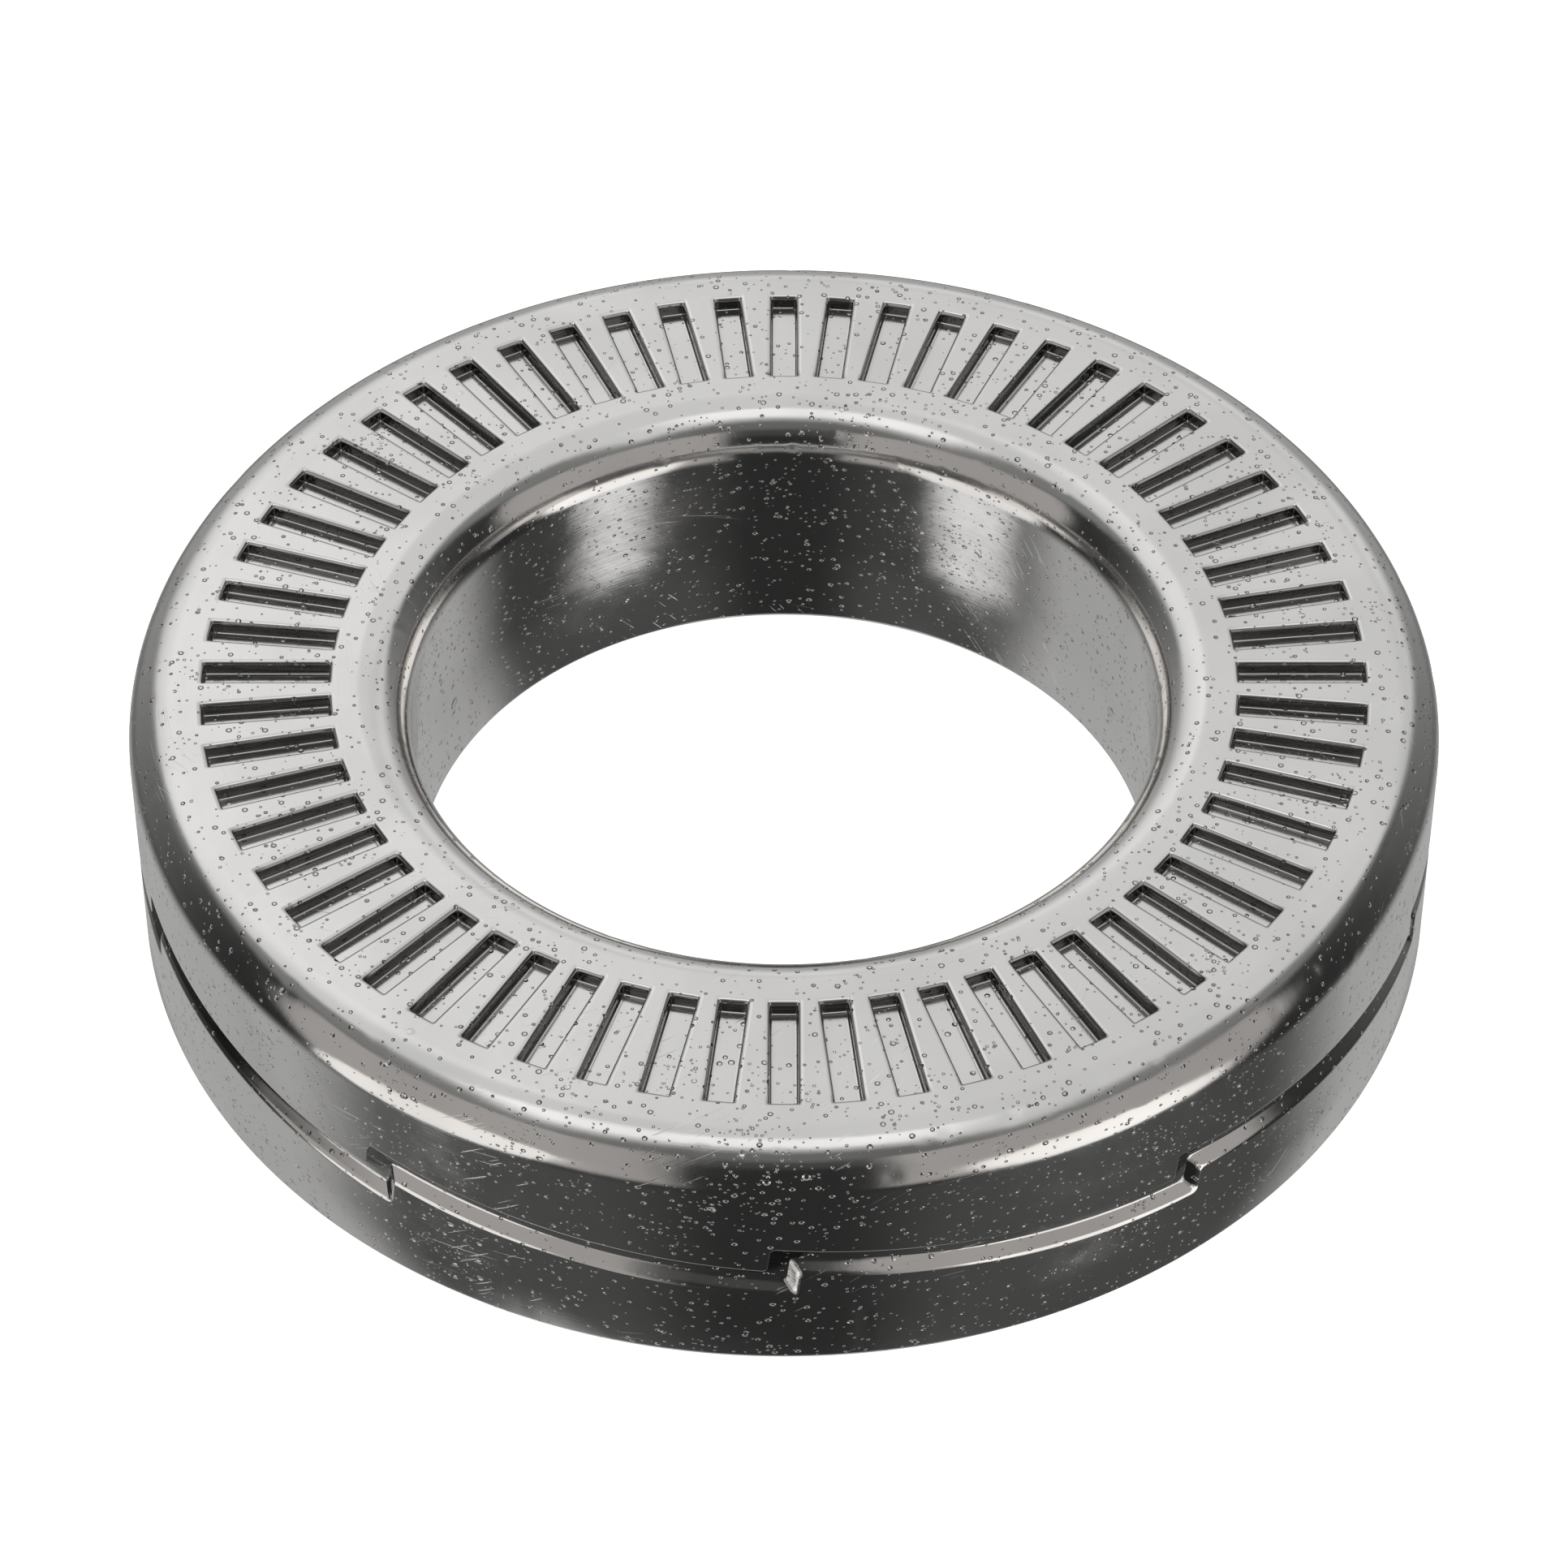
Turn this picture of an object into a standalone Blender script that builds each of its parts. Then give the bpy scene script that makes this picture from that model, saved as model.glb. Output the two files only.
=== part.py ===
"""Enclosed thrust ball bearing, 40 mm bore x 70 mm outside diameter x 15 mm high.

Two steel housings turn against each other about +Z.  The upper one carries the
pocketed thrust face, a long hub that forms the whole bore, and a skirt.  The
lower one is the seat.  Between them run two hardened races with a ring of
caged balls.  A sawtooth labyrinth slot separates the two skirts.

Frame: metres, +Z up along the axis, origin at the centre of the seat face.
"""
import math

import bmesh
import bpy
from mathutils import Matrix, Vector

# ----------------------------------------------------------------- dimensions
MM = 0.001

BORE_R = 20.0 * MM            # bore radius (40 mm bore)
OUTER_R = 35.0 * MM           # outside radius (70 mm outside diameter)
HEIGHT = 15.0 * MM            # overall height

RIM_FILLET = 2.6 * MM         # rounding of the upper outer rim
LIP_FILLET = 2.7 * MM         # rounding of the upper bore lip
SEAT_CHAMFER = 0.3 * MM       # break of the seat's outer edge
FILLET_STEPS = 4

HOUSING_STEPS = 80            # facets round the two housings
RING_STEPS = 60               # facets round the rings inside

PLAY = 0.15 * MM              # clearance between pieces that sit on one another

# pockets in the thrust face
POCKETS = 60
POCKET_IN_R = 24.1 * MM
POCKET_OUT_R = 31.1 * MM
POCKET_WIDTH = 1.65 * MM
POCKET_DEPTH = 0.8 * MM

# sawtooth labyrinth slot between the skirts
TEETH = 10
TOOTH_RISE = 1.65 * MM
SEAT_EDGE_LOW = 4.95 * MM     # lowest point of the lower skirt's edge
SKIRT_EDGE_LOW = 6.75 * MM    # lowest point of the upper skirt's edge
RISER_OFFSET = math.radians(1.2)   # each riser's distance from the step angle
RISER_RAKE = math.radians(0.3)     # angle that one riser takes up
RISER_SKEW = math.radians(1.67)    # a riser's lean, for each mm of slot depth
SKIRT_IN_R = 34.0 * MM        # inside of both housings behind the slot
LEDGE_SLOPE = 1.28            # rise of the sawtooth faces per unit of depth
SEAT_RIM_R = 34.5 * MM        # rim of the lower housing behind its sawtooth ledge
SEAT_RIM_Z = 8.75 * MM
SKIRT_LIP_R = 34.65 * MM      # inside of the upper skirt's lip, round that rim
SKIRT_LIP_Z = 9.1 * MM

# housings
PLATE_Z = 12.45 * MM          # underside of the thrust plate
SPIGOT_Z = 11.4 * MM          # underside of the ring that centres the upper race
SPIGOT_R = 32.6 * MM
HUB_R = 22.0 * MM             # outside of the hub
HUB_END_Z = 0.25 * MM         # the hub stops short of the seat face
GROOVE_R = 21.25 * MM         # retaining ring groove in the hub
GROOVE_Z0 = 0.90 * MM
GROOVE_Z1 = 1.90 * MM
FLOOR_Z = 3.0 * MM            # floor under the lower race
BOSS_R = 24.7 * MM            # boss that centres the lower race
BOSS_Z = 5.0 * MM
SEAT_BORE_R = 22.6 * MM       # lower housing's bore round the hub
RECESS_R = 24.4 * MM          # recess under the lower housing for the ring
RECESS_Z = 2.1 * MM

# balls, races, cage
BALLS = 20
BALL_R = 2.5 * MM
PITCH_R = 28.0 * MM
BALL_Z = 7.5 * MM
RACEWAY_R = 2.6 * MM          # raceway groove radius (52 % of the ball diameter)
RACE_OUT_R = 32.4 * MM
LOWER_RACE_IN_R = 24.9 * MM
LOWER_RACE_Z0 = FLOOR_Z + PLAY
LOWER_RACE_Z1 = 5.6 * MM
UPPER_RACE_IN_R = 22.2 * MM
UPPER_RACE_Z0 = 9.4 * MM
UPPER_RACE_Z1 = PLATE_Z - PLAY
RACEWAY_STEPS = 6

CAGE_IN_R = 24.9 * MM
CAGE_OUT_R = 31.1 * MM
CAGE_THICK = 2.4 * MM
CAGE_POCKET_R = 2.75 * MM

# seals and retaining ring
BAND_IN_R = 33.1 * MM
BAND_OUT_R = 33.85 * MM
BAND_Z0 = FLOOR_Z + PLAY
BAND_Z1 = 11.0 * MM
SEAL_IN_R = 22.2 * MM
SEAL_OUT_R = 24.4 * MM
SEAL_Z0 = BOSS_Z + PLAY
SEAL_Z1 = 9.0 * MM
CLIP_IN_R = 21.4 * MM
CLIP_OUT_R = 24.1 * MM
CLIP_Z0 = 1.0 * MM
CLIP_Z1 = 1.8 * MM
CLIP_GAP = 6.0 * MM           # opening of the retaining ring


# -------------------------------------------------------------------- helpers
def clear_scene():
    for obj in list(bpy.data.objects):
        bpy.data.objects.remove(obj, do_unlink=True)


def collection(name):
    col = bpy.data.collections.new(name)
    bpy.context.scene.collection.children.link(col)
    return col


def material(name, rgb, roughness, metallic):
    mat = bpy.data.materials.new(name)
    mat.use_nodes = True
    bsdf = mat.node_tree.nodes["Principled BSDF"]
    bsdf.inputs["Base Color"].default_value = (*rgb, 1.0)
    bsdf.inputs["Roughness"].default_value = roughness
    bsdf.inputs["Metallic"].default_value = metallic
    mat.diffuse_color = (*rgb, 1.0)
    return mat


def around(radius, azimuth, z):
    """A point at an azimuth that starts at -Y and turns towards +X."""
    return Vector((radius * math.sin(azimuth), -radius * math.cos(azimuth), z))


def arc(cx, cz, radius, start, end, steps):
    """Profile points on an arc, angles in degrees from +X towards +Z."""
    pts = []
    for i in range(steps + 1):
        t = math.radians(start + (end - start) * i / steps)
        pts.append((cx + radius * math.cos(t), cz + radius * math.sin(t)))
    return pts


def turned(name, profile, steps, mat, col):
    """A ring from a closed profile that runs down its outer side."""
    mesh = bpy.data.meshes.new(name)
    n = len(profile)
    mesh.from_pydata([(r, 0.0, z) for r, z in profile],
                     [(i, (i + 1) % n) for i in range(n)], [])
    obj = bpy.data.objects.new(name, mesh)
    col.objects.link(obj)
    obj.data.materials.append(mat)
    screw = obj.modifiers.new("turn", "SCREW")
    screw.axis = "Z"
    screw.angle = 2.0 * math.pi
    screw.steps = steps
    screw.render_steps = steps
    screw.use_merge_vertices = True
    screw.merge_threshold = 0.000001
    screw.use_smooth_shade = True
    return obj


def cut(obj, cutter, name):
    mod = obj.modifiers.new(name, "BOOLEAN")
    mod.operation = "DIFFERENCE"
    mod.solver = "EXACT"
    mod.object = cutter


def as_cutter(obj, cutters):
    obj.hide_render = True
    obj.display_type = "WIRE"
    for other in list(obj.users_collection):
        other.objects.unlink(obj)
    cutters.objects.link(obj)
    return obj


def bmesh_object(name, bm, col, mat=None):
    mesh = bpy.data.meshes.new(name)
    bm.to_mesh(mesh)
    bm.free()
    obj = bpy.data.objects.new(name, mesh)
    col.objects.link(obj)
    if mat:
        mesh.materials.append(mat)
    return obj


def settle(obj):
    """Apply the modifiers, then shade round faces smooth and keep edges sharp."""
    bpy.context.view_layer.update()
    graph = bpy.context.evaluated_depsgraph_get()
    mesh = bpy.data.meshes.new_from_object(obj.evaluated_get(graph))
    obj.modifiers.clear()
    old = obj.data
    obj.data = mesh
    mesh.name = obj.name
    bpy.data.meshes.remove(old)
    mesh.shade_smooth()
    mesh.set_sharp_from_angle(angle=math.radians(32.0))


def parent(obj, holder):
    obj.parent = holder
    obj.matrix_parent_inverse = holder.matrix_world.inverted()


def empty(name, location, col):
    obj = bpy.data.objects.new(name, None)
    obj.location = location
    obj.empty_display_size = 0.01
    col.objects.link(obj)
    return obj


# -------------------------------------------------------------- labyrinth slot
def tooth_sections(edge_low, offset):
    """Azimuth and height of a sawtooth edge: a riser, then a ramp down."""
    pitch = 2.0 * math.pi / TEETH
    ramp_steps = int(HOUSING_STEPS / TEETH)
    out = []
    for k in range(TEETH):
        start = k * pitch + offset + 0.5 * RISER_RAKE
        end = (k + 1) * pitch + offset - 0.5 * RISER_RAKE
        for i in range(ramp_steps + 1):
            t = i / ramp_steps
            out.append((start + (end - start) * t,
                        edge_low + TOOTH_RISE * (1.0 - t)))
    return out


def sawtooth_ring(name, sections, flat_z, cutters):
    """A ring between a flat face and a sawtooth face, as a closed loft.

    The sawtooth face climbs inwards, so that each tooth sheds to the outside."""
    inner, outer = SEAT_RIM_R, OUTER_R + 0.5 * MM
    bm = bmesh.new()
    loops = []
    for azimuth, z in sections:
        loops.append([
            bm.verts.new(around(r, azimuth - RISER_SKEW * (OUTER_R - r) / MM, h))
            for r, h in ((outer, flat_z),
                         (outer, z + LEDGE_SLOPE * (OUTER_R - outer)),
                         (inner, z + LEDGE_SLOPE * (OUTER_R - inner)),
                         (inner, flat_z))])
    for i, here in enumerate(loops):
        there = loops[(i + 1) % len(loops)]
        for j in range(4):
            k = (j + 1) % 4
            bm.faces.new((here[j], here[k], there[k], there[j]))
    bmesh.ops.recalc_face_normals(bm, faces=bm.faces)
    return as_cutter(bmesh_object(name, bm, cutters), cutters)


# --------------------------------------------------------------------- housings
def upper_housing(mat, col, cutters):
    profile = []
    profile += arc(OUTER_R - RIM_FILLET, HEIGHT - RIM_FILLET, RIM_FILLET,
                   90.0, 0.0, FILLET_STEPS)
    profile += [(OUTER_R, SKIRT_EDGE_LOW - 0.6 * MM),
                (SKIRT_LIP_R, SKIRT_EDGE_LOW - 0.6 * MM),
                (SKIRT_LIP_R, SKIRT_LIP_Z), (SKIRT_IN_R, SKIRT_LIP_Z),
                (SKIRT_IN_R, SPIGOT_Z), (SPIGOT_R, SPIGOT_Z),
                (SPIGOT_R, PLATE_Z), (HUB_R, PLATE_Z),
                (HUB_R, GROOVE_Z1), (GROOVE_R, GROOVE_Z1),
                (GROOVE_R, GROOVE_Z0), (HUB_R, GROOVE_Z0),
                (HUB_R, HUB_END_Z), (BORE_R, HUB_END_Z)]
    profile += arc(BORE_R + LIP_FILLET, HEIGHT - LIP_FILLET, LIP_FILLET,
                   180.0, 90.0, FILLET_STEPS)
    obj = turned("upper_housing", profile, HOUSING_STEPS, mat, col)

    slot = sawtooth_ring("cut_upper_slot",
                         tooth_sections(SKIRT_EDGE_LOW, -RISER_OFFSET),
                         SKIRT_EDGE_LOW - 1.6 * MM, cutters)
    cut(obj, slot, "sawtooth edge")

    bm = bmesh.new()
    length = POCKET_OUT_R - POCKET_IN_R
    middle = 0.5 * (POCKET_OUT_R + POCKET_IN_R)
    for k in range(POCKETS):
        azimuth = k * 2.0 * math.pi / POCKETS
        place = (Matrix.Translation(around(middle, azimuth, HEIGHT))
                 @ Matrix.Rotation(azimuth - 0.5 * math.pi, 4, "Z")
                 @ Matrix.Diagonal((length, POCKET_WIDTH,
                                    2.0 * POCKET_DEPTH, 1.0)))
        bmesh.ops.create_cube(bm, size=1.0, matrix=place)
    pockets = as_cutter(bmesh_object("cut_pockets", bm, cutters), cutters)
    cut(obj, pockets, "pockets")
    return obj


def lower_housing(mat, col, cutters):
    top = SEAT_RIM_Z
    profile = [(OUTER_R, top), (OUTER_R, SEAT_CHAMFER),
               (OUTER_R - SEAT_CHAMFER, 0.0), (RECESS_R, 0.0),
               (RECESS_R, RECESS_Z), (SEAT_BORE_R, RECESS_Z),
               (SEAT_BORE_R, BOSS_Z), (BOSS_R, BOSS_Z),
               (BOSS_R, FLOOR_Z), (SKIRT_IN_R, FLOOR_Z), (SKIRT_IN_R, top)]
    obj = turned("lower_housing", profile, HOUSING_STEPS, mat, col)
    slot = sawtooth_ring("cut_lower_slot",
                         tooth_sections(SEAT_EDGE_LOW, RISER_OFFSET),
                         top + 1.0 * MM, cutters)
    cut(obj, slot, "sawtooth edge")
    return obj


# ------------------------------------------------------------ races, cage, balls
def lower_race(mat, col):
    edge = math.degrees(math.acos((BALL_Z - LOWER_RACE_Z1) / RACEWAY_R))
    groove = arc(PITCH_R, BALL_Z, RACEWAY_R, 270.0 - edge, 270.0 + edge,
                 RACEWAY_STEPS)
    profile = ([(RACE_OUT_R, LOWER_RACE_Z1), (RACE_OUT_R, LOWER_RACE_Z0),
                (LOWER_RACE_IN_R, LOWER_RACE_Z0),
                (LOWER_RACE_IN_R, LOWER_RACE_Z1)] + groove)
    return turned("lower_race", profile, RING_STEPS, mat, col)


def upper_race(mat, col):
    edge = math.degrees(math.acos((UPPER_RACE_Z0 - BALL_Z) / RACEWAY_R))
    groove = arc(PITCH_R, BALL_Z, RACEWAY_R, 90.0 - edge, 90.0 + edge,
                 RACEWAY_STEPS)
    profile = ([(RACE_OUT_R, UPPER_RACE_Z1), (RACE_OUT_R, UPPER_RACE_Z0)]
               + groove
               + [(UPPER_RACE_IN_R, UPPER_RACE_Z0),
                  (UPPER_RACE_IN_R, UPPER_RACE_Z1)])
    return turned("upper_race", profile, RING_STEPS, mat, col)


def ball_place(index):
    azimuth = (index + 0.5) * 2.0 * math.pi / BALLS
    return azimuth, around(PITCH_R, azimuth, BALL_Z)


def ball_cage(mat, col, cutters):
    top, bottom = BALL_Z + 0.5 * CAGE_THICK, BALL_Z - 0.5 * CAGE_THICK
    profile = [(CAGE_OUT_R, top), (CAGE_OUT_R, bottom),
               (CAGE_IN_R, bottom), (CAGE_IN_R, top)]
    obj = turned("ball_cage", profile, RING_STEPS, mat, col)
    bm = bmesh.new()
    for k in range(BALLS):
        azimuth, place = ball_place(k)
        bmesh.ops.create_cone(
            bm, cap_ends=True, segments=16, radius1=CAGE_POCKET_R,
            radius2=CAGE_POCKET_R, depth=2.0 * CAGE_THICK,
            matrix=Matrix.Translation(place) @ Matrix.Rotation(azimuth, 4, "Z"))
    cutter = as_cutter(bmesh_object("cut_cage_pockets", bm, cutters), cutters)
    cut(obj, cutter, "ball pockets")
    return obj


def balls(mat, col):
    bm = bmesh.new()
    bmesh.ops.create_uvsphere(bm, u_segments=12, v_segments=8, radius=BALL_R)
    mesh = bpy.data.meshes.new("ball")
    bm.to_mesh(mesh)
    bm.free()
    mesh.materials.append(mat)
    mesh.shade_smooth()
    out = []
    for k in range(BALLS):
        azimuth, place = ball_place(k)
        obj = bpy.data.objects.new("ball_%02d" % (k + 1), mesh)
        col.objects.link(obj)
        # the ball's own Z lies along its rolling axis, outwards
        obj.matrix_world = (Matrix.Translation(place)
                            @ Matrix.Rotation(azimuth - 0.5 * math.pi, 4, "Z")
                            @ Matrix.Rotation(0.5 * math.pi, 4, "Y"))
        out.append(obj)
    return out


# ------------------------------------------------------- seals, retaining ring
def dust_band(mat, col):
    profile = [(BAND_OUT_R, BAND_Z1), (BAND_OUT_R, BAND_Z0),
               (BAND_IN_R, BAND_Z0), (BAND_IN_R, BAND_Z1)]
    return turned("dust_band", profile, RING_STEPS, mat, col)


def inner_seal(mat, col):
    """A moulded ring with a thin lip that leans towards the hub."""
    body_z = SEAL_Z0 + 1.6 * MM
    profile = [(SEAL_OUT_R, body_z), (SEAL_OUT_R, SEAL_Z0),
               (SEAL_IN_R + 0.5 * MM, SEAL_Z0), (SEAL_IN_R, SEAL_Z1 - 0.6 * MM),
               (SEAL_IN_R, SEAL_Z1), (SEAL_IN_R + 0.5 * MM, SEAL_Z1),
               (SEAL_IN_R + 0.9 * MM, body_z + 0.4 * MM)]
    return turned("inner_seal", profile, RING_STEPS, mat, col)


def retaining_ring(mat, col, cutters):
    profile = [(CLIP_OUT_R, CLIP_Z1), (CLIP_OUT_R, CLIP_Z0),
               (CLIP_IN_R, CLIP_Z0), (CLIP_IN_R, CLIP_Z1)]
    obj = turned("retaining_ring", profile, RING_STEPS, mat, col)
    bm = bmesh.new()
    bmesh.ops.create_cube(
        bm, size=1.0,
        matrix=Matrix.Translation((0.0, -0.5 * (CLIP_IN_R + CLIP_OUT_R),
                                   0.5 * (CLIP_Z0 + CLIP_Z1)))
        @ Matrix.Diagonal((CLIP_GAP, 8.0 * MM, 4.0 * MM, 1.0)))
    gap = as_cutter(bmesh_object("cut_ring_gap", bm, cutters), cutters)
    cut(obj, gap, "opening")
    return obj


# ------------------------------------------------------------------------ build
def main():
    clear_scene()
    parts = collection("thrust_ball_bearing")
    cutters = collection("cutters")

    upper_steel = material("upper_housing_steel", (0.60, 0.59, 0.57), 0.20, 1.0)
    lower_steel = material("lower_housing_steel", (0.56, 0.55, 0.54), 0.22, 1.0)
    race_steel = material("race_steel", (0.66, 0.65, 0.64), 0.10, 1.0)
    ball_steel = material("ball_steel", (0.75, 0.75, 0.75), 0.04, 1.0)
    cage_brass = material("cage_brass", (0.72, 0.53, 0.22), 0.30, 1.0)
    band_steel = material("band_steel", (0.48, 0.46, 0.44), 0.28, 1.0)
    seal_rubber = material("seal_rubber", (0.03, 0.03, 0.03), 0.70, 0.0)
    spring_steel = material("spring_steel", (0.20, 0.20, 0.21), 0.35, 1.0)

    seat = empty("seat_frame", (0.0, 0.0, 0.0), parts)
    turning = empty("turning_frame", (0.0, 0.0, 0.0), parts)
    cage_frame = empty("cage_frame", (0.0, 0.0, BALL_Z), parts)
    bpy.context.view_layer.update()

    seat_pieces = [lower_housing(lower_steel, parts, cutters),
                   lower_race(race_steel, parts),
                   dust_band(band_steel, parts),
                   inner_seal(seal_rubber, parts)]
    turning_pieces = [upper_housing(upper_steel, parts, cutters),
                      upper_race(race_steel, parts),
                      retaining_ring(spring_steel, parts, cutters)]
    cage = ball_cage(cage_brass, parts, cutters)
    for obj in seat_pieces + turning_pieces + [cage]:
        settle(obj)

    for obj in seat_pieces:
        parent(obj, seat)
    for obj in turning_pieces:
        parent(obj, turning)
    parent(cage, cage_frame)
    for obj in balls(ball_steel, parts):
        parent(obj, cage_frame)
    bpy.context.view_layer.update()


main()
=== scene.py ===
"""Looks of the enclosed thrust ball bearing: fine turned and pocketed meshes,
worn polished steel, a pale floor and a studio environment."""
import math

import bmesh
import bpy
import numpy as np
from mathutils import Matrix, Vector


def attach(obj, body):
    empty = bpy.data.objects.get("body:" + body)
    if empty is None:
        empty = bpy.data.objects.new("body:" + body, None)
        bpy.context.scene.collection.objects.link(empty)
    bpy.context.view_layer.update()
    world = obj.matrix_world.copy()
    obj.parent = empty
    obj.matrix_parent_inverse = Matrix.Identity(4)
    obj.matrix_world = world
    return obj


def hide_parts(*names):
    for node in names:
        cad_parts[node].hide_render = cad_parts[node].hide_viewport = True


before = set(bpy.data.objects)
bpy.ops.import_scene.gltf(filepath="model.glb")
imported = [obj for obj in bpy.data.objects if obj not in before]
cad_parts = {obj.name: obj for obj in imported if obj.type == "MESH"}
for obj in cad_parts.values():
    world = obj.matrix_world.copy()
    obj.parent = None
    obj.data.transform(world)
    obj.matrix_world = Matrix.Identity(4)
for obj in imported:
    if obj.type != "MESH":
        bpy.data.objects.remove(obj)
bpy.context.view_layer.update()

MM = 0.001

# ------------------------------------------------------------- shared dimensions (mm)
OUTER_R, BORE_R, HEIGHT = 35.0, 20.0, 15.0
RIM, LIP = 2.6, 2.7
COLUMNS = 600
TEETH, RISE = 10, 1.65
SEAT_LOW, SKIRT_LOW = 4.95, 6.75
RISER_OFF = 1.2                       # degrees from the step angle
SKEW = 1.67                           # degrees a riser leans per mm of slot depth
SKIRT_IN = 34.0
LEDGE_SLOPE = 1.28                    # rise of the sawtooth faces towards the inside


# =========================================================================== meshes
def clean_normals(bm):
    bmesh.ops.recalc_face_normals(bm, faces=bm.faces)


def finish_mesh(name, verts, faces, weld=0.0, sharp=34.0, painted_shade=None):
    """A mesh object from points in mm, welded, smooth with its corners sharp.

    The last argument holds each point's painted shade, 0 to 1: how far the material darkens
    the steel colour to stand in for shade."""
    me = bpy.data.meshes.new(name)
    me.from_pydata([tuple(float(c) * MM for c in v) for v in verts], [], faces)
    # painted shade per point, read by the steel materials to darken their colour
    layer = me.attributes.new("painted_shade", "FLOAT", "POINT")
    layer.data.foreach_set("value", [0.0] * len(verts) if painted_shade is None else painted_shade)
    bm = bmesh.new()
    bm.from_mesh(me)
    if weld:
        bmesh.ops.remove_doubles(bm, verts=bm.verts, dist=weld * MM)
    clean_normals(bm)
    bm.to_mesh(me)
    bm.free()
    me.shade_smooth()
    me.set_sharp_from_angle(angle=math.radians(sharp))
    ob = bpy.data.objects.new(name, me)
    bpy.context.scene.collection.objects.link(ob)
    return ob


def polar(r, deg, z):
    a = math.radians(deg)
    return (r * math.sin(a), -r * math.cos(a), z)


def arc(cx, cz, radius, start, end, steps):
    out = []
    for i in range(steps + 1):
        t = math.radians(start + (end - start) * i / steps)
        out.append((cx + radius * math.cos(t), cz + radius * math.sin(t)))
    return out


def rounded(profile, radii, steps=4):
    """Closed (r, z) profile with each corner rounded by its own radius."""
    out = []
    n = len(profile)
    for i, (p, rad) in enumerate(zip(profile, radii)):
        p0 = np.array(profile[i - 1], float)
        p1 = np.array(p, float)
        p2 = np.array(profile[(i + 1) % n], float)
        if rad <= 0.0:
            out.append(tuple(p1))
            continue
        d0 = (p0 - p1) / np.linalg.norm(p0 - p1)
        d2 = (p2 - p1) / np.linalg.norm(p2 - p1)
        ang = math.acos(max(-1.0, min(1.0, float(d0 @ d2))))
        cut = rad / math.tan(ang / 2.0)
        a, b = p1 + d0 * cut, p1 + d2 * cut
        bis = (d0 + d2) / np.linalg.norm(d0 + d2)
        c = p1 + bis * (rad / math.sin(ang / 2.0))
        va, vb = a - c, b - c
        t0 = math.atan2(va[1], va[0])
        t1 = math.atan2(vb[1], vb[0])
        dt = (t1 - t0 + math.pi) % (2 * math.pi) - math.pi
        for k in range(steps + 1):
            t = t0 + dt * k / steps
            out.append((c[0] + rad * math.cos(t), c[1] + rad * math.sin(t)))
    return out


def turned(name, profile, columns, sharp=34.0):
    """A ring from a closed profile, in mm."""
    n = len(profile)
    verts, faces = [], []
    for j in range(columns):
        for r, z in profile:
            verts.append(polar(r, 360.0 * j / columns, z))
    for j in range(columns):
        k = (j + 1) % columns
        for i in range(n):
            m = (i + 1) % n
            faces.append((j * n + i, j * n + m, k * n + m, k * n + i))
    return finish_mesh(name, verts, faces, sharp=sharp)


# ---------------------------------------------------------------- sawtooth slot curve
def tooth_curve(low, offset):
    """COLUMNS points (arc length, height) along a sawtooth edge on the outside wall,
    with small rounds at its corners, and the miter direction towards the material
    above it (times -1 for material below)."""
    per = COLUMNS // TEETH
    mm_per_deg = math.radians(1.0) * OUTER_R
    pitch = 360.0 / TEETH
    pts = []
    for k in range(TEETH):
        lo = (k * pitch + offset - 0.15, low)            # foot of the riser
        hi = (k * pitch + offset + 0.15, low + RISE)     # head of the riser
        nx = ((k + 1) * pitch + offset - 0.15, low)      # foot of the next riser
        pts.append((lo, hi, nx))
    out = []
    rr = 0.30                                            # corner round, mm
    nr, nc = 6, 5                                        # riser points, corner points
    ramp = per - nr - 2 * nc
    for lo, hi, nx in pts:
        lo_ = np.array((lo[0] * mm_per_deg, lo[1]))
        hi_ = np.array((hi[0] * mm_per_deg, hi[1]))
        nx_ = np.array((nx[0] * mm_per_deg, nx[1]))
        pv_ = lo_ + (hi_ - nx_)                          # head of the riser before
        du = (hi_ - lo_) / np.linalg.norm(hi_ - lo_)
        dr = (nx_ - hi_) / np.linalg.norm(nx_ - hi_)

        def corner(p, d_in, d_out):
            ang = math.acos(float(-d_in @ d_out))
            cut = rr / math.tan(ang / 2.0)
            a, b = p - d_in * cut, p + d_out * cut
            bis = (d_out - d_in) / np.linalg.norm(d_out - d_in)
            c = p + bis * rr / math.sin(ang / 2.0)
            t0 = math.atan2(*(a - c)[::-1])
            t1 = math.atan2(*(b - c)[::-1])
            dt = (t1 - t0 + math.pi) % (2 * math.pi) - math.pi
            return [c + rr * np.array((math.cos(t0 + dt * i / (nc - 1)),
                                       math.sin(t0 + dt * i / (nc - 1))))
                    for i in range(nc)]
        foot = corner(lo_, dr, du)
        head = corner(hi_, du, dr)
        nfoot = corner(nx_, dr, du)
        out += foot
        for i in range(nr):
            t = (i + 1) / (nr + 1)
            out.append(foot[-1] * (1 - t) + head[0] * t)
        out += head
        for i in range(ramp):
            t = (i + 1) / (ramp + 1)
            out.append(head[-1] * (1 - t) + nfoot[0] * t)
    out = np.array(out)
    total = 360.0 * mm_per_deg
    nxt = np.roll(out, -1, axis=0)
    nxt[-1, 0] += total
    prv = np.roll(out, 1, axis=0)
    prv[0, 0] -= total
    d1 = out - prv
    d1 /= np.linalg.norm(d1, axis=1)[:, None]
    d2 = nxt - out
    d2 /= np.linalg.norm(d2, axis=1)[:, None]
    n1 = np.stack([-d1[:, 1], d1[:, 0]], 1)
    n2 = np.stack([-d2[:, 1], d2[:, 0]], 1)
    m = n1 + n2
    m /= np.linalg.norm(m, axis=1)[:, None]
    m /= np.maximum(0.35, (m * n1).sum(1))[:, None]
    return out, m, mm_per_deg


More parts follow.
